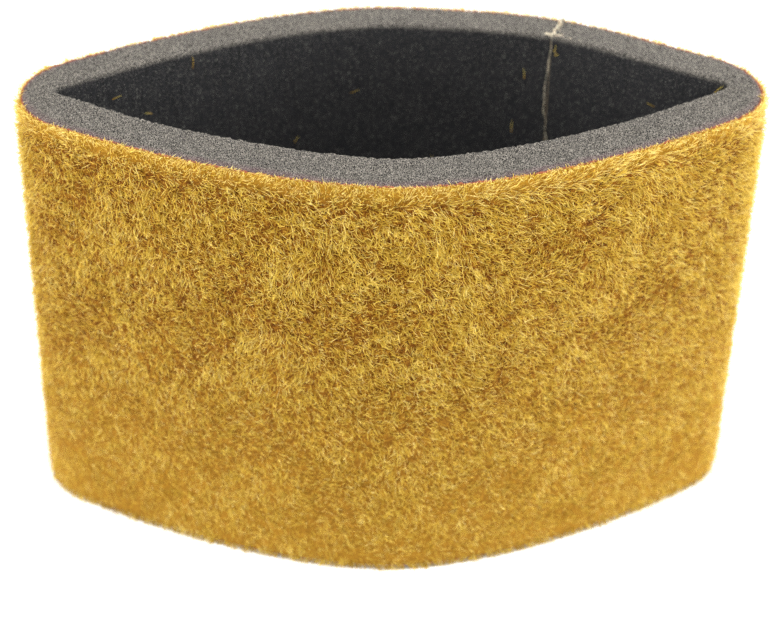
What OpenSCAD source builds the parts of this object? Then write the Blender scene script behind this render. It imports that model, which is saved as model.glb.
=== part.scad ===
// Flocked foam air filter sleeve.
// One strip of open-cell foam is bent into a lens-shaped loop and butt-joined with glue.
// Its outer face carries a coat of flock adhesive and a standing pile of fibres.
// The origin is the middle of the lower rim. +X points to one fold, and the seam is in the +Y wall.

/* [Sleeve] */
// Length of the lens-shaped opening, from fold to fold
opening_length = 142; // [120:1:180]
// Depth of the opening at its middle, from wall to wall
opening_depth = 60; // [45:1:70]
// Height of the sleeve
sleeve_height = 99; // [60:1:130]
// How the long walls bow: 2 is a parabola, lower is straighter towards the folds
bow_power = 1.65; // [1.5:0.01:2.1]
// Width of the blunt inner end of each fold
fold_gap = 2.4; // [0.4:0.2:4]
// Where the outside of a fold starts to turn, measured back from its inner corner
fold_run = 6; // [3:0.5:10]

/* [Foam] */
// Thickness of the foam strip
foam_thickness = 10; // [8:0.5:12]

/* [Flocking] */
// Thickness of the adhesive coat under the pile
adhesive_thickness = 0.3; // [0.2:0.05:0.5]
// Thickness of the standing pile
pile_thickness = 2.0; // [1.5:0.1:4]
// How far the pile stops short of each rim
pile_margin = 0.3; // [0.1:0.1:1]

/* [Seam] */
// Distance of the butt seam from the middle of the back wall
seam_offset = 36; // [28:1:40]
// How far the stiff glued joint pushes the back wall out of its curve
seam_bulge = 2.5; // [0:0.5:3]
// How far that bulge reaches to each side of the seam
bulge_reach = 29; // [18:1:29]
// Width of the glued gap
glue_gap = 0.4; // [0.3:0.05:0.8]
// Width of the glue line squeezed out inside
bead_width = 1.1; // [0.8:0.1:2]
// How far that glue line stands off the inner face
bead_proud = 0.5; // [0.3:0.1:1]
// How far that glue line wanders to each side
bead_wander = 0.7; // [0:0.1:1.2]
// Width of the dried glue dab where the joint reaches the upper rim
dab_width = 3; // [2:0.5:5]
// How deep that dab has soaked into the rim
dab_depth = 0.25; // [0.2:0.05:0.5]

/* [Hidden] */

half_length = opening_length / 2;
half_depth = opening_depth / 2;
FRONT = 0;            // the plain wall, at -Y
BACK = 1;             // the wall with the seam, at +Y
WALL_STEPS = 48;      // straight facets along one wall
FOLD_STEPS = 12;      // straight facets round one fold
BEAD_STEPS = 48;      // facets up the wandering glue line
DAB_STEPS = 24;       // facets round the glue dab
SLOPE_STEP = 0.01;    // step for reading a wall's slope from its curve
CLEAR = 1;            // how far a cutting solid runs past what it cuts
SKIN = 0.05;          // gap that keeps the glue line off the curved foam face
DAB_MARGIN = 0.6;     // how far the dab stays inside both edges of the rim

// Distance of a wall's inner face from the middle plane, at station x.
half_gap = fold_gap / 2;
function bow(x) = half_gap + (half_depth - half_gap) * (1 - pow(abs(x) / half_length, bow_power));
function bulge(x) = seam_bulge * pow(max(0, 1 - pow((x - seam_offset) / bulge_reach, 2)), 2);
function inner_y(x, side) = bow(x) + side * bulge(x);

// Direction of that wall's outward normal, as an angle from +X, with the wall at +Y.
function slope(x, side) = (inner_y(x + SLOPE_STEP, side) - inner_y(x - SLOPE_STEP, side)) / (2 * SLOPE_STEP);
function normal_angle(x, side) = atan2(1, -slope(x, side));

// A point of the wall, out millimetres from its inner face.
function out_point(x, side, out) = let (a = normal_angle(x, side))
    [x + out * cos(a), inner_y(x, side) + out * sin(a)];

// Stations along a wall from one end to the other.
function stations(end) = [for (i = [0 : WALL_STEPS]) end * (2 * i / WALL_STEPS - 1)];

function reversed(list) = [for (i = [len(list) - 1 : -1 : 0]) list[i]];
function flip_x(list) = [for (p = list) [-p[0], p[1]]];
function flip_y(list) = [for (p = list) [p[0], -p[1]]];

// Inner outline: two bowed walls that come together in a narrow blunt end at each fold.
function inner_outline() = concat(
    [for (x = stations(half_length)) [x, inner_y(x, BACK)]],
    [for (x = reversed(stations(half_length))) [x, -inner_y(x, FRONT)]]
);

// Outside of the fold at +X: an arc tangent to both walls, from the back one to the front one.
fold_station = half_length - fold_run;
fold_angle = normal_angle(fold_station, FRONT);
fold_inner_radius = bow(fold_station) / sin(fold_angle);
fold_centre = fold_station - fold_inner_radius * cos(fold_angle);
function fold_points(out) = [for (i = [1 : FOLD_STEPS - 1])
    let (a = fold_angle * (1 - 2 * i / FOLD_STEPS), r = fold_inner_radius + out)
    [fold_centre + r * cos(a), r * sin(a)]];

// Outer outline, out millimetres from the inner face, with a round fold at each end.
function outer_outline(out) = concat(
    [for (x = stations(fold_station)) out_point(x, BACK, out)],
    fold_points(out),
    reversed(flip_y([for (x = stations(fold_station)) out_point(x, FRONT, out)])),
    reversed(flip_x(fold_points(out)))
);

// A wall all round the sleeve, from height low to high; its child is the outline of its inside.
module loop_wall(out, low, high) {
    translate([0, 0, low])
        linear_extrude(high - low)
            difference() {
                polygon(outer_outline(out));
                children();
            }
}

// Local axes at the seam: x runs out through the wall and y along it.
module at_seam() {
    translate([seam_offset, inner_y(seam_offset, BACK), 0])
        rotate([0, 0, normal_angle(seam_offset, BACK)])
            children();
}

// The glued gap as a flat plate through the wall, between two depths and two heights.
module seam_plate(from, to, low, high) {
    at_seam()
        translate([from, -glue_gap / 2, low])
            cube([to - from, glue_gap, high - low]);
}

module seam_cut() {
    seam_plate(-foam_thickness, 2 * foam_thickness, -CLEAR, sleeve_height + CLEAR);
}

// Foam strip: its two cut ends face each other across the glue.
module foam_strip() {
    color("#3c3d42")
        difference() {
            loop_wall(foam_thickness, 0, sleeve_height) polygon(inner_outline());
            seam_cut();
            dab_body(dab_depth + CLEAR);
        }
}

// Rust-coloured adhesive coat on the foam's outer face.
module flock_adhesive() {
    color("#9a4f22")
        difference() {
            loop_wall(foam_thickness + adhesive_thickness, 0, sleeve_height)
                polygon(outer_outline(foam_thickness));
            seam_cut();
        }
}

// Golden pile standing on the adhesive, parted at the seam.
module flock_pile() {
    coated = foam_thickness + adhesive_thickness;
    color("#c8982d")
        difference() {
            loop_wall(coated + pile_thickness, pile_margin, sleeve_height - pile_margin)
                polygon(outer_outline(coated));
            seam_cut();
        }
}

// Glue between the two butted ends of the strip, up to the underside of the dab.
module seam_glue_film() {
    color("#d9c79b")
        seam_plate(-SKIN, foam_thickness + adhesive_thickness, 0, sleeve_height - dab_depth);
}

// Glue squeezed out of the joint on the inner face, wandering a little as it climbs.
function wander(t) = bead_wander * (0.6 * sin(510 * t + 40) + 0.4 * sin(1130 * t));
function bead_edge(side) = [for (i = [0 : BEAD_STEPS]) let (t = i / BEAD_STEPS)
    [wander(t) + side * bead_width / 2, t * sleeve_height]];

module seam_glue_bead() {
    color("#c9b98f")
        at_seam()
            translate([-SKIN - bead_proud, 0, 0])
                rotate([90, 0, 90])
                    linear_extrude(bead_proud)
                        polygon(concat(bead_edge(-1), reversed(bead_edge(1))));
}

// Pear-shaped body of the dab, widest towards the inner edge, standing on the bottom of its hollow in the rim.
module dab_body(high) {
    reach = foam_thickness / 2 - DAB_MARGIN;
    at_seam()
        translate([foam_thickness / 2, 0, sleeve_height - dab_depth])
            linear_extrude(high)
                polygon([for (i = [0 : DAB_STEPS - 1]) let (a = 360 * i / DAB_STEPS)
                    [reach * cos(a), dab_width / 2 * sin(a) * (1 - 0.6 * cos(a))]]);
}

// Dab of dried glue soaked into the upper rim and flush with it.
module seam_glue_dab() {
    color("#efe6cb") dab_body(dab_depth);
}

foam_strip();
flock_adhesive();
flock_pile();
seam_glue_film();
seam_glue_bead();
seam_glue_dab();
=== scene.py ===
"""Looks of a flocked foam air filter sleeve: cut foam, adhesive line, golden pile and a glued seam."""

import math

import bpy
import numpy as np
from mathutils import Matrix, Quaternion, Vector
from mathutils.bvhtree import BVHTree


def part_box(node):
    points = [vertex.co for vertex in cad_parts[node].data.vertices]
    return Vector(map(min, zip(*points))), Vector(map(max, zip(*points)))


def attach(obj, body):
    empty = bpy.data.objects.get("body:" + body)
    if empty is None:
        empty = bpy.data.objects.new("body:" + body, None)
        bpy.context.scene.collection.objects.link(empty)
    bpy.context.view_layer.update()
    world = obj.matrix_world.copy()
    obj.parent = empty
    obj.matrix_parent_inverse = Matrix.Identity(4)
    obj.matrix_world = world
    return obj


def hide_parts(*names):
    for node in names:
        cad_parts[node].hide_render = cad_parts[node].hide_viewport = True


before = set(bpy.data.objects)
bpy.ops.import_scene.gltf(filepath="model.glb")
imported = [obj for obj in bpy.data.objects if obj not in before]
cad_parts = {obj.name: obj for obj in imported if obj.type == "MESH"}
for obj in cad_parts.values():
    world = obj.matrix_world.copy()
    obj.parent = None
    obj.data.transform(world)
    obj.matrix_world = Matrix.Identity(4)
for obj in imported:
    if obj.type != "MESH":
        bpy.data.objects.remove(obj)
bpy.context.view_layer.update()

MM = 0.001
TAU = 2 * math.pi
SEED = 1957
BODY = "root"

# The CAD nodes, by what they are.
FOAM, COAT, PILE = "foam_strip", "flock_adhesive", "flock_pile"
FILM, BEAD, DAB = "seam_glue_film", "seam_glue_bead", "seam_glue_dab"

# Sizes read from the frame.
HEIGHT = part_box(FOAM)[1].z
COAT_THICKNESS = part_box(COAT)[1].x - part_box(FOAM)[1].x
FOLD_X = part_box(COAT)[1].x    # the outside of a fold

# Foam surface.
LOOP_PITCH = 0.40 * MM        # spacing of the foam's columns round the loop
RIM_STEPS = 26                # rings across a cut rim
WALL_STEPS = 56               # rings up the inner wall
EDGE_ROUND = 0.35 * MM        # how far the cut edges are worn down
CELL_RELIEF = 0.13 * MM       # depth of the open cells on a cut rim
WALL_RELIEF = 0.08 * MM       # depth of the cells on the inner wall
RIM_SAG = 0.066 * MM          # slow waviness of a cut rim
RIM_SINK = 1.5                # a rim is set down by this times CELL_RELIEF and RIM_SAG
WALL_BOW = 0.12 * MM          # slow bulges of the inner wall
RIM_FALL = 0.7 * MM           # the bent strip is stretched outside, so its cut rims fall away outwards

# Adhesive coat.
COAT_BARE = 0.5 * MM          # how far its edges stay inside the foam's
COAT_RAGGED = 0.10 * MM       # how uneven those edges are
COAT_RELIEF = 0.04 * MM       # lumps on its outer face

# Matted roots, under the free fibres.
MAT_PITCH = 1.0 * MM          # spacing of the mat's columns
MAT_ROWS = 64
MAT_THICKNESS = 0.55 * MM     # at the upper rim
MAT_LOW = 0.5                 # share of that thickness left at the lower rim
MAT_LUMPS = 0.3               # unevenness of that thickness
MAT_EDGE = 1.2 * MM           # the mat thins out over this much of its edges
BARE_EDGE = 0.75 * MM         # adhesive left bare between the mat and each rim

# Free fibres.
SECTORS = 8                   # pieces that they are made in, one after another round the loop
FIBRES_PER_MM2 = 8.7
FIBRE_LENGTH = 2.6 * MM
SHORTER_LOW = 0.24            # share of that length lost towards the lower rim, where the pile is worn
FIBRE_WIDTH = 0.16 * MM
FIBRE_STOPS = (0.0, 0.38, 0.72, 1.0)   # shares of its length at which a fibre has points
FIBRE_TAPER = (1.0, 0.9, 0.6)          # share of its width left at all but the last of them
TUFT_SIZE = 1.5 * MM          # spacing of the small tufts
TUFT_PULL = 0.05              # how far a tip is drawn to the middle of its tuft
LEAN = 50                     # degrees that a fibre leans over at the upper rim
LEAN_LOW = 24                 # degrees more at the lower rim
CURL = 14                     # degrees that it curls from root to tip
UPRIGHT_SHARE = 0.14          # about this share stands well up out of the pile, and fewer do low down
UPRIGHT_LEAN = 0.4            # share of the usual lean that those have
UPRIGHT_WIDTH = 0.6           # share of the usual width that those have
FOLD_BAND = 9.0 * MM          # how far round a fold the bent strip splays its fibres
FOLD_SPLAY = 0.25             # share of the fibres that it stands up there
RIM_BAND = 6.0 * MM           # under the upper rim the fibres point up, over about this height
FLOOR_BAND = 4.0 * MM         # above the lower rim they point down, over about this height
COMBED = 0.82                 # share of their usual disorder that is lost there
TIP_DROP = 0.5 * MM           # how far under the foam's edge the pile is trimmed
TIP_RISE = 0.2                # share that is left of a tip's rise above that line
TIP_FLOOR = 0.12 * MM         # height that no tip goes under


# ---------------------------------------------------------------- the walls, read from the frame

FINE = 2880                   # rays from the axis that find a wall
WALK_SAMPLES = 3000           # points that a stretch of wall is drawn through
LENGTH_STEPS = 200            # straight steps that its length is added up from
fine_angles = (np.arange(FINE) + 0.5) * TAU / FINE
MID = Vector((0, 0, HEIGHT / 2))
OUTSIDE = 1.0                 # metres, well outside the sleeve


def tree_of(*names):
    """One ray-casting tree over several CAD nodes."""
    points, polygons = [], []
    for name in names:
        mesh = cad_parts[name].data
        first = len(points)
        points += [v.co.copy() for v in mesh.vertices]
        polygons += [[first + i for i in p.vertices] for p in mesh.polygons]
    return BVHTree.FromPolygons(points, polygons)


def section(tree, from_outside):
    """Distance from the sleeve's axis to a wall at mid height, for each fine angle."""
    radii = []
    for angle in fine_angles:
        way = Vector((math.cos(angle), math.sin(angle), 0))
        if from_outside:
            hit = tree.ray_cast(MID + way * OUTSIDE, -way)[0]
        else:
            hit = tree.ray_cast(MID, way)[0]
        radii.append((hit - MID).length)
    return np.array(radii)


def seam_line():
    """The glue film in plan: its inner and outer end, the unit vectors out through it and along the wall,
    and its thickness."""
    corners = {(round(v.co.x, 6), round(v.co.y, 6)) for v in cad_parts[FILM].data.vertices}
    by_distance = sorted(corners, key=lambda p: math.hypot(*p))
    inner = np.mean(by_distance[:2], axis=0)
    outer = np.mean(by_distance[-2:], axis=0)
    out = (outer - inner) / np.linalg.norm(outer - inner)
    gap = math.dist(by_distance[0], by_distance[1])
    return inner, outer, out, np.array((-out[1], out[0])), gap


def walk(radii, first, last, count):
    """Points at count equal steps along a section, from one angle to another."""
    angles = np.linspace(first, last, WALK_SAMPLES)
    r = np.interp(angles % TAU, fine_angles, radii, period=TAU)
    points = np.stack((r * np.cos(angles), r * np.sin(angles)), 1)
    along = np.concatenate(([0], np.cumsum(np.linalg.norm(np.diff(points, axis=0), axis=1))))
    even = np.linspace(0, along[-1], count + 1)
    return np.stack([np.interp(even, along, points[:, axis]) for axis in (0, 1)], 1)


def strip_points(radii, seam_angle, counts):
    """A section from one side of the seam round to the other. Both folds fall on points."""
    stops = (seam_angle, math.pi, TAU, TAU + seam_angle)
    spans = [walk(radii, a, b, n) for a, b, n in zip(stops, stops[1:], counts)]
    return np.concatenate([span[:-1] for span in spans] + [spans[-1][-1:]])


def outward(points):
    """Unit normals along a strip, smoothed over the CAD's facets."""
    reach = 4   # points to each side
    ring = points[:-1]
    along = np.roll(ring, -reach, 0) - np.roll(ring, reach, 0)
    normal = np.stack((along[:, 1], -along[:, 0]), 1)
    normal /= np.linalg.norm(normal, axis=1, keepdims=True)
    return np.concatenate((normal, normal[:1]))


seam_inner, seam_outer, seam_out, seam_along, SEAM_GAP = seam_line()
WALL_DEPTH = math.dist(seam_inner, seam_outer)
inner_radii = section(tree_of(FOAM, FILM), from_outside=False)
coat_radii = section(tree_of(COAT, FILM), from_outside=True)


def span_counts(pitch):
    """Steps in each span between the seam and the folds, for a given pitch."""
    angle = math.atan2(seam_outer[1], seam_outer[0])
    stops = (angle, math.pi, TAU, TAU + angle)
    lengths = []
    for first, last in zip(stops, stops[1:]):
        points = walk(coat_radii, first, last, LENGTH_STEPS)
        lengths.append(np.linalg.norm(np.diff(points, axis=0), axis=1).sum())
    return [round(length / pitch) for length in lengths], sum(lengths)


def open_seam(points):
    """Draws the two ends of a strip apart by the seam's gap."""
    points = points.copy()
    points[0] += seam_along * SEAM_GAP / 2
    points[-1] -= seam_along * SEAM_GAP / 2
    return points


class Walls:
    """The inner face, the foam's outer face and the coat's outer face, as matching strips of plan points."""

    def __init__(self, pitch):
        counts, self.length = span_counts(pitch)
        inner_angle = math.atan2(seam_inner[1], seam_inner[0])
        outer_angle = math.atan2(seam_outer[1], seam_outer[0])
        self.inner = strip_points(inner_radii, inner_angle, counts)
        self.coat = strip_points(coat_radii, outer_angle, counts)
        self.inner_normal = outward(self.inner)
        self.normal = outward(self.coat)
        self.foam = self.coat - self.normal * COAT_THICKNESS
        self.inner, self.foam, self.coat = map(open_seam, (self.inner, self.foam, self.coat))
        self.columns = len(self.coat)


# ---------------------------------------------------------------- random shapes

def closed_wave(rng, samples, fewest, most, count=9):
    """A smooth random curve over a closed loop, of about unit size, with fewest to most bumps."""
    t = np.arange(samples) / (samples - 1)
    total = np.zeros(samples)
    for cycles in rng.integers(fewest, most + 1, count):
        total += np.cos(TAU * (cycles * t + rng.random()))
    return total / math.sqrt(count / 2)


def cells(rng, rows, columns, softness=0.35):
    """Random relief with the grain of the mesh, softened towards its neighbours, of about unit size."""
    raw = rng.standard_normal((rows, columns))
    near = sum(np.roll(raw, step, axis) for axis in (0, 1) for step in (1, -1)) / 4
    soft = raw * (1 - softness) + near * softness
    soft[:, -1] = soft[:, 0]
    return soft / soft.std()


class Field:
    """A smooth random value over the unrolled wall, of about unit size, that joins up round the loop.
    shortest and longest are the lengths of its waves."""

    def __init__(self, rng, length, shortest, longest, waves=28):
        size = rng.uniform(shortest, longest, waves)
        heading = rng.uniform(0, TAU, waves)
        self.round = np.round(length * np.cos(heading) / size)
        self.up = np.sin(heading) / size
        self.phase = rng.random(waves)
        self.scale = math.sqrt(2 / waves)

    def __call__(self, along, z):
        """along is the share of the loop from the seam, and z the height in metres."""
        turns = np.multiply.outer(along, self.round) + np.multiply.outer(z, self.up) + self.phase
        return np.cos(TAU * turns).sum(-1) * self.scale


# ---------------------------------------------------------------- mesh helpers

def mesh_object(name, points, corners, sizes):
    """A smooth-shaded mesh object from corner indices and the number of corners of each face."""
    mesh = bpy.data.meshes.new(name)
    mesh.vertices.add(len(points))
    mesh.vertices.foreach_set("co", np.asarray(points, np.float32).ravel())
    mesh.loops.add(len(corners))
    mesh.loops.foreach_set("vertex_index", np.asarray(corners, np.int32))
    mesh.polygons.add(len(sizes))
    starts = np.concatenate(([0], np.cumsum(sizes)[:-1]))
    mesh.polygons.foreach_set("loop_start", starts.astype(np.int32))
    mesh.update(calc_edges=True)
    mesh.polygons.foreach_set("use_smooth", np.ones(len(sizes), bool))
    made = bpy.data.objects.new(name, mesh)
    bpy.context.scene.collection.objects.link(made)
    return made


def strip_object(name, rings):
    """A closed solid from rings of points: each ring runs along the strip, the last ring joins the first,
    and a cap closes each end."""
    count, columns, _ = rings.shape
    i = np.arange(count)[:, None]
    j = np.arange(columns - 1)[None]
    here = i * columns + j
    above = (i + 1) % count * columns + j
    quads = np.stack((here, above, above + 1, here + 1), -1).reshape(-1, 4)
    first_cap = np.arange(count)[::-1] * columns
    last_cap = np.arange(count) * columns + columns - 1
    corners = np.concatenate((quads.ravel(), first_cap, last_cap))
    sizes = np.concatenate((np.full(len(quads), 4), (count, count)))
    return mesh_object(name, rings.reshape(-1, 3), corners, sizes)


def at_height(plan, z):
    """Plan points raised to a height, which may vary along them."""
    return np.column_stack((plan, np.broadcast_to(z, len(plan))))


def finish_piece(piece, material, slot, *nodes):
    """Gives a piece its material and its body, and hides the CAD nodes it stands for. Its slot is not used.
    """
    piece.data.materials.append(material)
    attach(piece, BODY)
    if nodes:
        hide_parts(*nodes)
    return piece


# ---------------------------------------------------------------- materials

def srgb(red, green, blue):
    """A colour as seen on screen, from 0 to 255, as Blender's linear colour."""
    def linear(value):
        value /= 255
        return value / 12.92 if value <= 0.04045 else ((value + 0.055) / 1.055) ** 2.4
    return (linear(red), linear(green), linear(blue), 1)


class Shader:
    """A node material, built node by node. Sockets are given as values or as the outputs that feed them."""

    def __init__(self, name):
        self.material = bpy.data.materials.new(name)
        self.material.use_nodes = True
        self.tree = self.material.node_tree
        self.tree.nodes.clear()
        self.place = self.add("TexCoord").outputs["Object"]

    def add(self, kind, sockets=None, **settings):
        """A node of the given kind, with its sockets filled and its settings made."""
        node = self.tree.nodes.new("ShaderNode" + kind)
        for key, value in settings.items():
            setattr(node, key, value)
        for key, value in (sockets or {}).items():
            if isinstance(value, bpy.types.NodeSocket):
                self.tree.links.new(value, node.inputs[key])
            else:
                node.inputs[key].default_value = value
        return node

    def noise(self, size, detail=2.0, rough=0.6):
        """Noise with features of about the given size, in metres."""
        sockets = {"Vector": self.place, "Scale": 1 / size, "Detail": detail, "Roughness": rough}
        return self.add("TexNoise", sockets).outputs["Fac"]

    def cell_walls(self, size):
        """0 on the walls between open cells of the given size, rising towards their middles."""
        sockets = {"Vector": self.place, "Scale": 1 / size}
        return self.add("TexVoronoi", sockets, feature="DISTANCE_TO_EDGE").outputs["Distance"]

    def ramp(self, factor, *stops):
        """Colours at places from 0 to 1, mixed between them."""
        node = self.add("ValToRGB", {"Fac": factor})
        elements = node.color_ramp.elements
        while len(elements) < len(stops):
            elements.new(0.5)
        for element, (place, colour) in zip(elements, stops):
            element.position = place
            element.color = colour
        return node.outputs["Color"]

    def between(self, value, low, high, to_low=0.0, to_high=1.0):
        """value, moved from one range to another and held there."""
        sockets = {"Value": value, "From Min": low, "From Max": high, "To Min": to_low, "To Max": to_high}
        return self.add("MapRange", sockets).outputs["Result"]

    def math(self, operation, first, second):
        """One number from two."""
        return self.add("Math", {0: first, 1: second}, operation=operation).outputs["Value"]

    def mix(self, factor, first, second):
        """The first colour at factor 0, the second at 1, and mixed between."""
        sockets = {0: factor, 6: first, 7: second}
        return self.add("Mix", sockets, data_type="RGBA").outputs[2]

    def bump(self, height, depth, strength=1.0):
        """The surface's normal, bent as if the given height ran over it, depth metres deep."""
        sockets = {"Height": height, "Distance": depth, "Strength": strength}
        return self.add("Bump", sockets).outputs["Normal"]

    def principled(self, **sockets):
        """The main surface. Sockets are named with _ for their spaces."""
        sockets = {key.replace("_", " "): value for key, value in sockets.items()}
        return self.add("BsdfPrincipled", sockets).outputs["BSDF"]

    def done(self, surface):
        """The finished material, with the given surface."""
        self.add("OutputMaterial", {"Surface": surface})
        return self.material


GREY = {step: srgb(step, step, step) for step in (0, 60, 190, 255)}
# Cut rim colours: pale partly as painted top light on the rims.
FOAM_PIT, FOAM_MIDDLE, FOAM_STRUT_AND_TOP_LIGHT = srgb(4, 4, 4), srgb(21, 20, 19), srgb(158, 151, 140)
# Inner wall colours: near black partly as painted shade, and a painted glint.
WALL_PIT_AND_SHADE, WALL_SKIN_AND_SHADE, WALL_PAINTED_GLINT = srgb(10, 10, 11), srgb(46, 46, 48), srgb(132, 129, 122)
FOAM_STAIN = srgb(118, 84, 92)
RUST_DARK, RUST_PALE = srgb(100, 50, 34), srgb(172, 96, 60)
MAT_SHADE, MAT_BROWN_AND_SHADE, MAT_GOLD = srgb(62, 30, 8), srgb(112, 68, 20), srgb(172, 128, 43)
GOLD_ROOT_SHADED, GOLD_MIDDLE, GOLD_DEEP = srgb(100, 60, 16), srgb(190, 144, 47), srgb(184, 142, 46)
GOLD_WARM = srgb(206, 171, 60)
GOLD, GOLD_PALE, GOLD_LIGHT = srgb(229, 200, 84), srgb(246, 225, 120), srgb(253, 240, 160)
GLUE_CREAM, GLUE_TAN, GLUE_BROWN = srgb(210, 198, 170), srgb(118, 103, 80), srgb(62, 53, 42)

FOAM_CELL = 0.34 * MM         # size of one open cell of the foam


def foam_material():
    """Open-cell foam: pale struts round dark pits where it was cut, paler there partly as painted top light,
    and near black on its moulded face, partly its skin and partly painted shade, with painted glints."""
    s = Shader("open_cell_foam")
    walls = s.cell_walls(FOAM_CELL)
    grain = s.noise(FOAM_CELL * 0.8, 3)
    patches = s.noise(9 * MM, 2)
    strut = s.math("ADD", s.between(walls, 0.0, 0.30, 0.62, 0.0), s.between(grain, 0.35, 0.68, 0.0, 0.5))
    cut = s.ramp(strut, (0.18, FOAM_PIT), (0.48, FOAM_MIDDLE), (0.9, FOAM_STRUT_AND_TOP_LIGHT))
    # Painted glints: bright specks in the inner wall's colour for light caught by its cells.
    glint = s.between(s.noise(FOAM_CELL * 0.8, 1), 0.62, 0.72)
    face = s.ramp(strut, (0.1, WALL_PIT_AND_SHADE), (0.9, WALL_SKIN_AND_SHADE))
    face = s.mix(glint, face, WALL_PAINTED_GLINT)
    # The rims take the pale colours and the inner wall the dark ones: partly cut cells against moulded skin,
    # partly painted top light and painted shade.
    rim = s.add("Attribute", attribute_name="rim").outputs["Fac"]
    colour = s.mix(rim, face, cut)
    across = s.add("Attribute", attribute_name="across").outputs["Fac"]
    stained = s.between(across, 0.82, 1.0, 0.0, 0.5)
    stained = s.math("MULTIPLY", stained, s.between(patches, 0.3, 0.6, 0.5, 1.0))
    colour = s.mix(s.math("MULTIPLY", stained, rim), colour, FOAM_STAIN)
    colour = s.mix(s.between(patches, 0.3, 0.7, 0.0, 0.16), colour, GREY[60])
    rough = s.between(grain, 0.3, 0.7, 0.82, 0.98)
    normal = s.bump(strut, 0.18 * MM, 0.8)
    return s.done(s.principled(Base_Color=colour, Roughness=rough, Normal=normal, Specular_IOR_Level=0.25))


def adhesive_material():
    """Dull rust-brown flock adhesive, soaked into the foam unevenly."""
    s = Shader("flock_adhesive_coat")
    blotch = s.noise(1.4 * MM, 4, 0.7)
    colour = s.ramp(blotch, (0.3, RUST_DARK), (0.7, RUST_PALE))
    normal = s.bump(s.noise(0.3 * MM, 3), 0.12 * MM)
    rough = s.between(blotch, 0.3, 0.7, 0.6, 0.85)
    return s.done(s.principled(Base_Color=colour, Roughness=rough, Normal=normal))


def mat_material():
    """Matted roots of the pile: deep brown, partly their own colour and partly painted shade between the
    fibres, with specks of gold, golden near the upper rim partly as painted top light, and golden low down.
    """
    s = Shader("pile_roots")
    fine, tufts, patches = s.noise(0.35 * MM, 3), s.noise(1.0 * MM, 2), s.noise(11 * MM, 2)
    tone = s.math("ADD", s.math("MULTIPLY", fine, 0.55), s.math("MULTIPLY", tufts, 0.38))
    tone = s.math("ADD", tone, s.math("MULTIPLY", patches, 0.07))
    # The deep browns are partly the roots' own colour and partly painted shade in the gaps between fibres.
    colour = s.ramp(tone, (0.38, MAT_SHADE), (0.5, MAT_BROWN_AND_SHADE), (0.66, MAT_GOLD))
    height = s.add("SeparateXYZ", {0: s.place}).outputs["Z"]
    # Golden towards the upper rim, partly as painted top light on the band there.
    colour = s.mix(s.between(height, HEIGHT - RIM_BAND, HEIGHT - 1 * MM, 0.0, 0.7), colour, GOLD_DEEP)
    colour = s.mix(s.between(height, 0.0, 0.6 * HEIGHT, 0.4, 0.0), colour, GOLD_DEEP)
    normal = s.bump(fine, 0.3 * MM)
    rough = s.between(fine, 0.3, 0.7, 0.8, 1.0)
    return s.done(s.principled(Base_Color=colour, Roughness=rough, Normal=normal, Specular_IOR_Level=0.05))


# The fibres' own map: U is a fibre's tone, V runs from its root to its tip.
FIBRE_MAP = "OFBake"
TONE_SPREAD = 0.012           # width of one fibre in that map


def fibre_material():
    """Golden flock fibre: darker towards the root as painted shade deep in the pile, bright along its
    length, letting light through.
    """
    s = Shader("flock_fibre")
    spot = s.add("SeparateXYZ", {0: s.add("UVMap", uv_map=FIBRE_MAP).outputs["UV"]})
    tone, along = spot.outputs["X"], spot.outputs["Y"]
    tip = s.ramp(
        tone, (0.0, GOLD_DEEP), (0.25, GOLD_WARM), (0.5, GOLD), (0.78, GOLD_PALE), (1.0, GOLD_LIGHT),
    )
    # Painted shade: each fibre darkens towards its root, deep in the pile.
    root = s.ramp(tone, (0.0, GOLD_ROOT_SHADED), (1.0, GOLD_MIDDLE))
    rise = s.ramp(along, (0.0, GREY[0]), (0.45, GREY[190]), (0.8, GREY[255]))
    colour = s.mix(rise, root, tip)
    rough = s.between(along, 0.0, 1.0, 0.75, 0.45)
    hair = s.principled(
        Base_Color=colour, Roughness=rough, Sheen_Weight=0.1, Sheen_Tint=GOLD,
        Specular_IOR_Level=0.15, Specular_Tint=GOLD_PALE,
    )
    through = s.add("BsdfTranslucent", {"Color": colour}).outputs["BSDF"]
    return s.done(s.add("MixShader", {0: 0.38, 1: hair, 2: through}).outputs["Shader"])


def glue_material(name, pale, dark):
    """Dried contact cement, blotched from a pale to a dark shade."""
    s = Shader(name)
    blotch = s.noise(1.1 * MM, 4, 0.7)
    fine = s.noise(0.25 * MM, 2)
    colour = s.ramp(blotch, (0.32, dark), (0.62, pale))
    normal = s.bump(fine, 0.1 * MM)
    return s.done(s.principled(
        Base_Color=colour, Roughness=s.between(fine, 0.3, 0.7, 0.35, 0.6), Normal=normal,
        Subsurface_Weight=0.1, Subsurface_Scale=0.5 * MM,
    ))


# ---------------------------------------------------------------- foam strip

def foam_profile():
    """For each ring of the foam: its share across the wall, its height, and 0 on a wall or 1 on a rim."""
    wall = np.linspace(0, HEIGHT, WALL_STEPS + 1)[1:-1]
    across = np.linspace(0, 1, RIM_STEPS + 1)
    sides = (
        (np.zeros_like(wall), wall, 0),
        (across, np.full_like(across, HEIGHT), 1),
        (np.ones(2), np.array((0.7, 0.3)) * HEIGHT, 0),   # two rings do under the coat
        (across[::-1], np.zeros_like(across), 1),
    )
    return [np.concatenate([np.broadcast_to(side[k], len(side[0])) for side in sides]) for k in range(3)]


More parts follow.
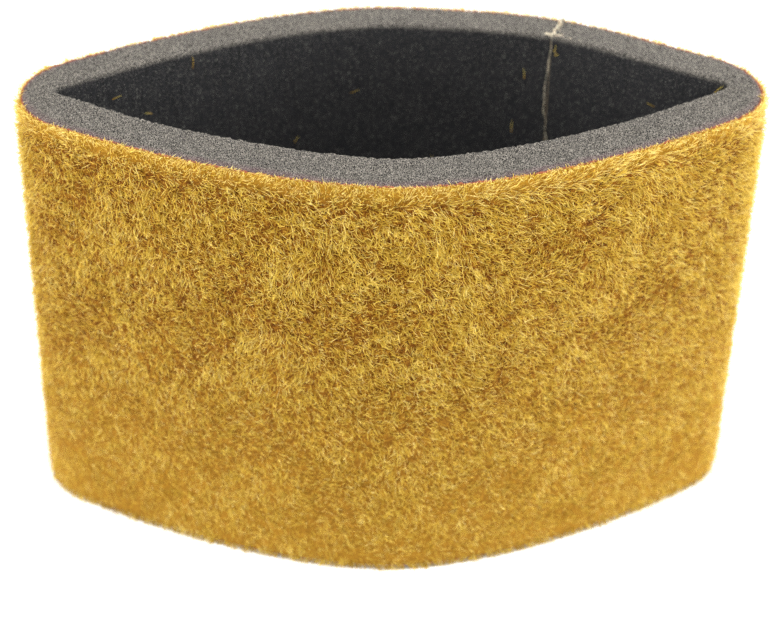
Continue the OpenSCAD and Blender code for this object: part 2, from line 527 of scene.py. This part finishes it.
def build_foam(walls):
    """The foam strip: rounded, sagging rims cut through open cells, and a lightly bulging inner wall."""
    rng = np.random.default_rng(SEED)
    share, height, rim = foam_profile()
    rows, columns = len(share), walls.columns
    depth = np.linalg.norm(walls.foam - walls.inner, axis=1)
    relief = cells(rng, rows, columns)
    upper_sag = closed_wave(rng, columns, 2, 14)
    lower_sag = closed_wave(rng, columns, 2, 14)
    bow = closed_wave(rng, columns, 3, 22)
    rings = np.empty((rows, columns, 3))
    for row in range(rows):
        plan = walls.inner * (1 - share[row]) + walls.foam * share[row]
        z = np.full(columns, height[row])
        if rim[row]:
            inner_edge = np.exp(-share[row] * depth / EDGE_ROUND)
            outer_edge = np.exp(-(1 - share[row]) * depth / EDGE_ROUND)
            upper = height[row] > HEIGHT / 2
            drop = EDGE_ROUND * (inner_edge + outer_edge) + CELL_RELIEF * (relief[row] + RIM_SINK)
            sag = upper_sag if upper else lower_sag
            drop = drop + RIM_SAG * (sag + RIM_SINK) + RIM_FALL * share[row]
            z = z - drop if upper else z + np.maximum(drop, 0)
        elif share[row] == 0:
            swell = WALL_RELIEF * relief[row] + WALL_BOW * bow * math.sin(math.pi * height[row] / HEIGHT)
            plan = plan + walls.inner_normal * swell[:, None]
        rings[row] = at_height(plan, z)
    foam = strip_object("foam_strip_cut", rings)
    for name, values in (("across", share), ("rim", rim)):
        layer = foam.data.attributes.new(name, "FLOAT", "POINT")
        layer.data.foreach_set("value", np.repeat(values, columns).astype(np.float32))
    return finish_piece(foam, foam_material(), "foam", FOAM)


# ---------------------------------------------------------------- adhesive coat

def build_adhesive(walls):
    """The thin adhesive coat, with a ragged upper and lower edge."""
    rng = np.random.default_rng(SEED + 1)
    columns = walls.columns
    edges = [COAT_BARE + COAT_RAGGED * closed_wave(rng, columns, 40, 300, 30) for _ in range(2)]
    low, high = RIM_FALL + np.maximum(edges[0], 0), HEIGHT - RIM_FALL - np.maximum(edges[1], 0)
    shares = (0, 0.004, 0.012, 0.3, 0.7, 0.988, 0.996, 1)   # heights of its rings, close at both edges
    lumps = cells(rng, len(shares), columns, 0.6) * COAT_RELIEF
    rings = [at_height(walls.foam, low), at_height(walls.foam, high)]
    for k, share in enumerate(reversed(shares)):
        plan = walls.coat + walls.normal * lumps[k][:, None]
        rings.append(at_height(plan, low * (1 - share) + high * share))
    coat = strip_object("adhesive_coat", np.array(rings))
    return finish_piece(coat, adhesive_material(), "adhesive", COAT)


# ---------------------------------------------------------------- pile

def build_mat():
    """The matted roots: a thin lumpy layer on the coat, thinner towards the lower rim."""
    rng = np.random.default_rng(SEED + 2)
    walls = Walls(MAT_PITCH)
    along = np.linspace(0, 1, walls.columns)
    lumps = Field(rng, walls.length, 2 * MM, 6 * MM)
    low, high = RIM_FALL + BARE_EDGE, HEIGHT - RIM_FALL - BARE_EDGE
    rings = [at_height(walls.coat, low), at_height(walls.coat, high)]
    for share in np.linspace(1, 0, MAT_ROWS):
        z = low + (high - low) * share
        edge = min(1.0, min(z - low, high - z) / MAT_EDGE + 0.35)
        lumpy = 1 + MAT_LUMPS * lumps(along, np.full(walls.columns, z))
        out = MAT_THICKNESS * edge * (MAT_LOW + (1 - MAT_LOW) * share) * lumpy
        out[-1] = out[0]
        rings.append(at_height(walls.coat + walls.normal * out[:, None], z))
    mat = strip_object("pile_roots", np.array(rings))
    return finish_piece(mat, mat_material(), "pile", PILE)


def unit(vectors):
    """The vectors, each at a length of 1."""
    return vectors / np.linalg.norm(vectors, axis=-1, keepdims=True)


def fibre_roots(rng, walls, count):
    """Random roots on the coat: share of the loop, height, the point itself and its outward normal."""
    along = np.sort(rng.random(count))
    z = rng.uniform(RIM_FALL, HEIGHT - RIM_FALL - BARE_EDGE, count)
    place = along * (walls.columns - 1)
    index = np.arange(walls.columns)
    plan = [np.interp(place, index, walls.coat[:, axis]) for axis in (0, 1)]
    normal = [np.interp(place, index, walls.normal[:, axis]) for axis in (0, 1)]
    flat = np.zeros(count)
    return along, z, np.stack((*plan, z), 1), unit(np.stack((*normal, flat), 1))


def tuft_of(rng, along, z, length):
    """The tuft each fibre belongs to: its centre on the unrolled wall and three random numbers, for its
    heading, for its lean, and for its length and tone."""
    across, up = round(length / TUFT_SIZE), round(HEIGHT / TUFT_SIZE) + 1
    jitter = rng.uniform(-0.45, 0.45, (across, up, 2))
    own = rng.standard_normal((across, up, 3))
    i = np.minimum((along * across).astype(int), across - 1)
    j = np.minimum((z / TUFT_SIZE).astype(int), up - 1)
    centre_along = (i + 0.5 + jitter[i, j, 0]) / across
    centre_z = (j + 0.5 + jitter[i, j, 1]) * TUFT_SIZE
    return centre_along, centre_z, own[i, j]


def nearness(distance, band):
    """1 at the start of a band, falling to 0 a little past its end."""
    return np.clip(1.3 - distance / band, 0, 1)


def grow_fibres(rng, walls, count):
    """The fibres: their shares of the loop, centre lines (fibre, stop, 3), the way each one faces, widths
    and tones."""
    along, z, root, normal = fibre_roots(rng, walls, count)
    up = np.broadcast_to((0.0, 0.0, 1.0), normal.shape)
    level = np.cross(up, normal)
    tuft_along, tuft_z, tuft = tuft_of(rng, along, z, walls.length)
    swirl = Field(rng, walls.length, 14 * MM, 40 * MM)
    gust = Field(rng, walls.length, 4 * MM, 11 * MM)
    shade = Field(rng, walls.length, 8 * MM, 22 * MM)
    own = rng.standard_normal((count, 4))   # for each fibre's heading, lean, curl and length
    low = 1 - z / HEIGHT
    near_rim = nearness(HEIGHT - z, RIM_BAND)
    near_floor = nearness(z, FLOOR_BAND)

    # Heading in the wall's plane: 0 is along the loop and a quarter turn is up. A slow swirl and a quicker
    # gust turn neighbours together, and each tuft and each fibre strays from them.
    heading = 0.8 * swirl(along, z) + 0.45 * gust(along, z) + 0.35 * tuft[:, 0] + 1.0 * own[:, 0]
    heading = heading * (1 - COMBED * np.maximum(near_rim, near_floor))
    heading = heading + (near_rim - near_floor) * math.pi / 2

    # Lean: 0 stands straight out of the wall and a quarter turn lies on it.
    lean = np.radians(LEAN + LEAN_LOW * low + 6 * tuft[:, 1] + 12 * own[:, 1])
    lean = lean * (1 + 0.2 * near_rim + 0.2 * near_floor)
    at_fold = np.clip(1 - np.abs(np.abs(root[:, 0]) - FOLD_X) / FOLD_BAND, 0, 1)
    chance = UPRIGHT_SHARE * (1.2 - 0.9 * low) + FOLD_SPLAY * at_fold * (1 - 0.6 * low)
    upright = rng.random(count) < chance
    lean = np.where(upright, UPRIGHT_LEAN * lean, np.clip(lean, math.radians(8), math.radians(80)))
    curl = np.radians(CURL + 12 * own[:, 2])

    length = np.clip(1 + 0.16 * own[:, 3] + 0.06 * tuft[:, 2], 0.5, 1.4)
    length = FIBRE_LENGTH * (1 - SHORTER_LOW * low) * length
    sideways = level * np.cos(heading)[:, None] + up * np.sin(heading)[:, None]
    to_tuft = level * ((tuft_along - along) * walls.length)[:, None] + up * (tuft_z - z)[:, None]
    lines = []
    for stop in FIBRE_STOPS:
        angle = lean + curl * stop
        step = normal * np.cos(angle)[:, None] + sideways * np.sin(angle)[:, None]
        lines.append(root + step * (length * stop)[:, None] + to_tuft * TUFT_PULL * stop)
    lines = np.stack(lines, 1)
    above = np.maximum(lines[..., 2] - (HEIGHT - RIM_FALL - TIP_DROP), 0)
    lines[..., 2] = np.maximum(lines[..., 2] - (1 - TIP_RISE) * above, TIP_FLOOR)

    facing = unit(normal + 0.45 * rng.standard_normal((count, 3)))
    width = FIBRE_WIDTH * np.clip(1 + 0.2 * rng.standard_normal(count), 0.5, 1.5)
    width = width * np.where(upright, UPRIGHT_WIDTH, 1)
    tone = 0.48 + 0.04 * shade(along, z) + 0.05 * tuft[:, 2] + 0.22 * rng.standard_normal(count)
    # Paler under the upper rim: partly paler fibres, partly painted top light on the band there.
    tone = np.clip(tone + 0.44 * near_rim + 0.22 * upright, 0.02, 0.98)
    return along, lines, facing, width, tone


def fibre_object(name, lines, facing, width, tone):
    """Flat tapering blades along the centre lines, one mesh for all. Each has two corners at every stop but
    the last, which is its tip."""
    count = len(lines)
    rails = []
    for k, share in enumerate(FIBRE_TAPER):
        side = unit(np.cross(lines[:, k + 1] - lines[:, k], facing)) * (width * share / 2)[:, None]
        rails += [lines[:, k] - side, lines[:, k] + side]
    points = np.stack(rails + [lines[:, -1]], 1)
    pattern = np.array((0, 1, 3, 2, 2, 3, 5, 4, 4, 5, 6))   # corners of its two quads and its tip
    per_fibre = points.shape[1]
    corners = (np.arange(count)[:, None] * per_fibre + pattern).ravel()
    sizes = np.tile((4, 4, 3), count)
    made = mesh_object(name, points.reshape(-1, 3), corners, sizes)
    tip = pattern.max()
    sides = np.where(pattern == tip, 0, np.where(pattern % 2, 1, -1)) * TONE_SPREAD
    rises = np.array(FIBRE_STOPS)[pattern // 2]
    across = np.clip(tone[:, None] + sides, 0.001, 0.999)
    spots = np.stack((across, np.broadcast_to(rises, across.shape)), -1)
    layer = made.data.uv_layers.new(name=FIBRE_MAP)
    layer.data.foreach_set("uv", spots.astype(np.float32).ravel())
    return made


def build_fibres(walls):
    """The free fibres, in one piece for each sector of the loop. Returns their material."""
    rng = np.random.default_rng(SEED + 3)
    area = walls.length * HEIGHT / MM**2
    count = round(area * FIBRES_PER_MM2)
    along, lines, facing, width, tone = grow_fibres(rng, walls, count)
    material = fibre_material()
    sector = np.minimum((along * SECTORS).astype(int), SECTORS - 1)
    for k in range(SECTORS):
        here = sector == k
        piece = fibre_object(f"pile_fibres_{k + 1}", lines[here], facing[here], width[here], tone[here])
        finish_piece(piece, material, "pile", PILE)
    return material


# ---------------------------------------------------------------- seam glue

FILM_SET_BACK = 0.4 * MM      # from the inner face
FILM_SKIN = 0.05 * MM         # from the coat's outer face
FILM_UNDER_RIM = 0.45 * MM
FILM_RAGGED = 0.08 * MM       # unevenness of its upper edge
FILM_ABOVE_FLOOR = 0.1 * MM

BEAD_HALF_WIDTH = 0.12 * MM
BEAD_WANDER = 0.32 * MM       # slow swings to each side
BEAD_JITTER = 0.16 * MM       # quick ones
BEAD_FLATNESS = 0.7           # its thickness as a share of its width
BEAD_ENDS = (0.2 * MM, HEIGHT - 0.5 * MM)


def seam_point(out, along, z):
    """A point given out through the wall from its inner face, along the wall and up."""
    plan = seam_inner + seam_out * out + seam_along * along
    return (plan[0], plan[1], z)


def tube_rings(centres, half_widths, half_depths, frames, sides=10):
    """Rings of an uneven oval cord along its centres. frames give each ring's two cross directions."""
    turn = np.arange(sides) * TAU / sides
    rings = []
    for centre, wide, deep, (across, off) in zip(np.array(centres), half_widths, half_depths, frames):
        rings.append([centre + across * wide * math.cos(a) + off * deep * math.sin(a) for a in turn])
    return np.array(rings)


def cord_object(name, rings):
    """A closed cord from rings of equal size, with a cap at each end."""
    count, sides, _ = rings.shape
    i = np.arange(count - 1)[:, None]
    j = np.arange(sides)[None]
    here, beside = i * sides + j, i * sides + (j + 1) % sides
    quads = np.stack((here, beside, beside + sides, here + sides), -1).reshape(-1, 4)
    first_cap = np.arange(sides)[::-1]
    last_cap = np.arange(sides) + (count - 1) * sides
    corners = np.concatenate((quads.ravel(), first_cap, last_cap))
    sizes = np.concatenate((np.full(len(quads), 4), (sides, sides)))
    return mesh_object(name, rings.reshape(-1, 3), corners, sizes)


def build_film(rng, material):
    """The cement between the two cut ends: a thin plate, ragged on top and set back from the inner face."""
    steps = 60
    place = np.linspace(FILM_SET_BACK, WALL_DEPTH - FILM_SKIN, steps)
    top = HEIGHT - FILM_UNDER_RIM + FILM_RAGGED * closed_wave(rng, steps, 3, 20)
    half = SEAM_GAP * (0.46 + 0.06 * closed_wave(rng, steps, 4, 22))
    low = np.full(steps, FILM_ABOVE_FLOOR)
    edges = ((-half, low), (-half, top), (half, top), (half, low))
    rings = [[seam_point(*spot) for spot in zip(place, offset, z)] for offset, z in edges]
    film = cord_object("seam_cement_film", np.array(rings).transpose(1, 0, 2))
    finish_piece(film, material, "glue", FILM)


def build_bead(rng, material):
    """Cement squeezed out inside: an uneven cord that wanders up the inner face."""
    steps = 170
    wander = BEAD_WANDER * closed_wave(rng, steps, 1, 6) + BEAD_JITTER * closed_wave(rng, steps, 9, 24)
    half = BEAD_HALF_WIDTH * np.clip(1 + 0.35 * closed_wave(rng, steps, 4, 30), 0.3, 1.9)
    heights = np.linspace(*BEAD_ENDS, steps)
    centres = [seam_point(0.02 * MM, y, z) for y, z in zip(wander, heights)]
    across = np.array((*seam_along, 0))
    off = -np.array((*seam_out, 0))
    rings = tube_rings(centres, half, half * BEAD_FLATNESS, [(across, off)] * steps)
    bead = cord_object("seam_cement_bead", rings)
    finish_piece(bead, material, "glue", BEAD)


# Dried dab on the rim, as a grid of thicknesses.
DAB_STEP = 0.11 * MM
DAB_REACH = (-9.5 * MM, 3.5 * MM)   # along the wall, to each side of the joint
DAB_CLEAR = 0.2 * MM          # from both edges of the rim
RIDGE_HALF_WIDTH = 0.24 * MM
RIDGE_HEIGHT = 0.40 * MM
RIDGE_DRIFT = 0.25 * MM       # how far the ridge wanders off the joint
DAB_GRAIN = 0.28              # unevenness of its thickness
DAB_BASE = HEIGHT - 0.32 * MM
DAB_RISE = 0.3 * MM           # it rises no further than this above its base
DAB_SINK = 0.7 * MM           # where it is thin it dives this far into the cells
DAB_SINK_UNDER = 0.08 * MM    # and this is the thickness that counts as thin
DAB_THINNEST = 0.03 * MM      # below this there is none
DAB_BACKING = 0.3 * MM        # solid thickness under its surface

# Its lumps: where each lies along the wall and out from the inner face, how far it reaches each way, and how
# thick it is, in millimetres.
DAB_LUMPS = (
    (1.0, 0.75, 0.75, 0.45, 0.42),
    (-1.6, 0.95, 0.95, 0.38, 0.36),
    (-3.8, 0.65, 1.2, 0.35, 0.13),
    (-6.4, 0.70, 1.8, 0.40, 0.10),
)


def build_dab(rng, material):
    """Dried cement on the rim: a ragged ridge along the joint, lumps by the inner edge and a thin smear."""
    along = np.arange(*DAB_REACH, DAB_STEP)
    out = np.arange(DAB_CLEAR, WALL_DEPTH - DAB_CLEAR, DAB_STEP)
    drift = RIDGE_DRIFT * closed_wave(rng, len(out), 1, 5)
    half = RIDGE_HALF_WIDTH * np.clip(1 + 0.4 * closed_wave(rng, len(out), 3, 16), 0.4, 1.8)
    a, o = np.meshgrid(along, out)
    thick = RIDGE_HEIGHT * np.exp(-((a - drift[:, None]) / half[:, None]) ** 2)
    for centre, middle, reach, spread, height in DAB_LUMPS:
        far = ((a - centre * MM) / (reach * MM)) ** 2 + ((o - middle * MM) / (spread * MM)) ** 2
        thick = thick + height * MM * np.exp(-far)
    thick = thick * (1 + DAB_GRAIN * cells(rng, *a.shape, softness=0.8))
    sunk = DAB_SINK * np.exp(-thick / DAB_SINK_UNDER)
    z = DAB_BASE + np.minimum(thick, DAB_RISE) - sunk
    points = np.array([seam_point(*spot) for spot in zip(o.ravel(), a.ravel(), z.ravel())])
    rows, columns = a.shape
    i, j = np.meshgrid(np.arange(rows - 1), np.arange(columns - 1), indexing="ij")
    here = i * columns + j
    kept = thick[:-1, :-1] > DAB_THINNEST
    quads = np.stack((here, here + columns, here + columns + 1, here + 1), -1)[kept]
    used, corners = np.unique(quads, return_inverse=True)
    dab = mesh_object("seam_cement_dab", points[used], corners.ravel(), np.full(len(quads), 4))
    body = dab.modifiers.new("thickness", "SOLIDIFY")
    body.thickness = DAB_BACKING
    body.offset = -1
    finish_piece(dab, material, "glue", DAB)


STRAY_WIDTH = 0.2 * MM
STRAY_STAND_OFF = 0.25 * MM   # of a stray fibre's root from the inner face

# Loose fibres caught on the inner face: station in X and height, both in millimetres, tilt from upright in
# degrees and length in millimetres.
STRAYS = (
    (-43.0, 94.5, 12, 3.2), (-52.0, 86.0, -60, 2.2), (-21.0, 71.0, 35, 2.0), (-8.0, 82.0, 80, 2.4),
    (30.8, 87.4, 8, 2.8), (28.7, 73.4, -6, 3.4), (12.0, 64.0, -40, 2.2), (52.0, 80.0, 65, 2.0),
    (37.0, 95.2, 24, 1.8), (37.4, 94.7, -38, 1.3), (36.9, 94.2, 55, 1.2),
    (68.6, 94.4, 30, 4.4), (69.4, 94.0, 44, 3.6), (-60.0, 92.0, 75, 2.4), (58.0, 88.0, -75, 2.2),
)


def build_strays(rng, walls, material):
    """The loose fibres on the inner face, each lying close to it and a little bent."""
    count = len(STRAYS)
    station, height, tilt, length = np.array(STRAYS).T
    lines, facing = np.empty((count, len(FIBRE_STOPS), 3)), np.empty((count, 3))
    for k in range(count):
        in_front = walls.inner[:, 1] < 0
        offset = np.abs(walls.inner[:, 0] - station[k] * MM) + in_front   # none hang on the front wall
        column = int(offset.argmin())
        inward = -np.array((*walls.inner_normal[column], 0))
        level = np.array((-inward[1], inward[0], 0))
        angle = math.radians(tilt[k])
        way = np.array((0, 0, 1)) * math.cos(angle) + level * math.sin(angle)
        root = np.array((*walls.inner[column], height[k] * MM)) + inward * STRAY_STAND_OFF
        bend = np.cross(way, inward) * rng.uniform(-0.35, 0.35)
        for stop, share in enumerate(FIBRE_STOPS):
            lines[k, stop] = root + (way * share + bend * share**2 + inward * 0.1 * share) * length[k] * MM
        facing[k] = inward
    width = np.full(count, STRAY_WIDTH)
    tone = rng.uniform(0.35, 0.8, count)
    finish_piece(fibre_object("stray_fibres", lines, facing, width, tone), material, "pile", PILE)


# ---------------------------------------------------------------- studio

FLOOR_HALF = 3.0              # metres
FLOOR_GLOW = 0.12             # keeps the far floor as white as the part under the lights
SURROUND = 0.85               # strength of the white surround as a light
SURROUND_SEEN = 1.1           # and as the camera sees it

# Soft square lights: name, place and side in metres, and power in watts.
LIGHTS = (
    ("overhead_softbox", (0.0, -0.15, 0.9), 0.6, 7.0),
    ("left_softbox", (-0.8, -0.1, 0.15), 0.5, 9.0),
    ("right_softbox", (0.8, -0.05, 0.15), 0.5, 12.0),
    ("front_softbox", (0.0, -0.9, 0.1), 0.6, 1.2),
    ("back_softbox", (0.1, 0.8, 0.2), 0.7, 6.0),
)


def build_floor():
    """A wide pale floor under the sleeve."""
    corners = [(FLOOR_HALF * x, FLOOR_HALF * y, 0) for x, y in ((-1, -1), (1, -1), (1, 1), (-1, 1))]
    floor = mesh_object("studio_floor", corners, np.arange(4), np.array((4,)))
    s = Shader("studio_white")
    colour = s.ramp(s.noise(0.4, 2), (0.3, srgb(244, 244, 243)), (0.7, srgb(250, 250, 250)))
    surface = s.principled(
        Base_Color=colour, Roughness=0.9, Emission_Color=colour, Emission_Strength=FLOOR_GLOW,
    )
    floor.data.materials.append(s.done(surface))


def build_surround():
    """A white surround that the camera sees a little brighter than it lights."""
    world = bpy.data.worlds.new("studio_surround")
    world.use_nodes = True
    nodes, links = world.node_tree.nodes, world.node_tree.links
    surround = nodes["Background"]
    surround.inputs["Color"].default_value = (1.0, 1.0, 1.0, 1)
    ray = nodes.new("ShaderNodeLightPath")
    strength = nodes.new("ShaderNodeMapRange")
    strength.inputs["To Min"].default_value = SURROUND
    strength.inputs["To Max"].default_value = SURROUND_SEEN
    links.new(ray.outputs["Is Camera Ray"], strength.inputs["Value"])
    links.new(strength.outputs["Result"], surround.inputs["Strength"])
    bpy.context.scene.world = world


def build_lights():
    """The soft lights, all aimed at the middle of the sleeve."""
    for name, place, side, power in LIGHTS:
        data = bpy.data.lights.new(name, "AREA")
        data.size = side
        data.energy = power
        light = bpy.data.objects.new(name, data)
        light.location = place
        light.rotation_euler = (MID - Vector(place)).to_track_quat("-Z", "Y").to_euler()
        bpy.context.scene.collection.objects.link(light)


def set_colours():
    """Plain colours on screen, and a denoiser that keeps the fibres and the foam's grain sharp."""
    bpy.context.scene.view_settings.view_transform = "Standard"
    bpy.context.scene.cycles.denoising_prefilter = "NONE"


CAMERA_ELEVATION = 34.0
CAMERA_AZIMUTH = -4.05
CAMERA_ROLL = 1.39
CAMERA_DISTANCE = 0.461
CAMERA_FOCAL = 95.2           # millimetres, on Blender's 36 mm sensor
CAMERA_AIM = Vector((-0.85 * MM, 0, 41.1 * MM))
FOCUS_AHEAD = 0.052           # metres that the focus lies in front of the sleeve's middle
F_STOP = 16.0


def build_camera():
    """The camera, with its focus kept on the near side of the sleeve from wherever it looks."""
    data = bpy.data.cameras.new("camera")
    data.sensor_width = 36
    data.lens = CAMERA_FOCAL
    camera = bpy.data.objects.new("camera", data)
    azimuth, elevation = math.radians(CAMERA_AZIMUTH), math.radians(CAMERA_ELEVATION)
    back = Vector((
        math.sin(azimuth) * math.cos(elevation),
        -math.cos(azimuth) * math.cos(elevation),
        math.sin(elevation),
    ))
    camera.location = CAMERA_AIM + back * CAMERA_DISTANCE
    camera.rotation_mode = "QUATERNION"
    level = (-back).to_track_quat("-Z", "Y")
    camera.rotation_quaternion = level @ Quaternion((0, 0, 1), math.radians(CAMERA_ROLL))
    bpy.context.scene.collection.objects.link(camera)
    bpy.context.scene.camera = camera

    middle = bpy.data.objects.new("sleeve_middle", None)
    middle.location = MID
    bpy.context.scene.collection.objects.link(middle)
    data.dof.use_dof = True
    data.dof.aperture_fstop = F_STOP
    driver = data.dof.driver_add("focus_distance").driver
    gap = driver.variables.new()
    gap.name = "gap"
    gap.type = "LOC_DIFF"
    gap.targets[0].id = camera
    gap.targets[1].id = middle
    driver.expression = f"gap - {FOCUS_AHEAD}"


# ---------------------------------------------------------------- the whole scene

foam_walls = Walls(LOOP_PITCH)
build_foam(foam_walls)
build_adhesive(foam_walls)
build_mat()
fibre_look = build_fibres(foam_walls)
build_strays(np.random.default_rng(SEED + 5), foam_walls, fibre_look)

glue_rng = np.random.default_rng(SEED + 4)
cement_cream = glue_material("dried_cement_cream", GLUE_CREAM, GLUE_TAN)
cement_tan = glue_material("dried_cement_tan", GLUE_TAN, GLUE_BROWN)
cement_streaked = glue_material("dried_cement_streaked", GLUE_CREAM, GLUE_BROWN)
build_film(glue_rng, cement_tan)
build_bead(glue_rng, cement_streaked)
build_dab(glue_rng, cement_cream)

build_floor()
build_surround()
build_lights()
set_colours()
build_camera()
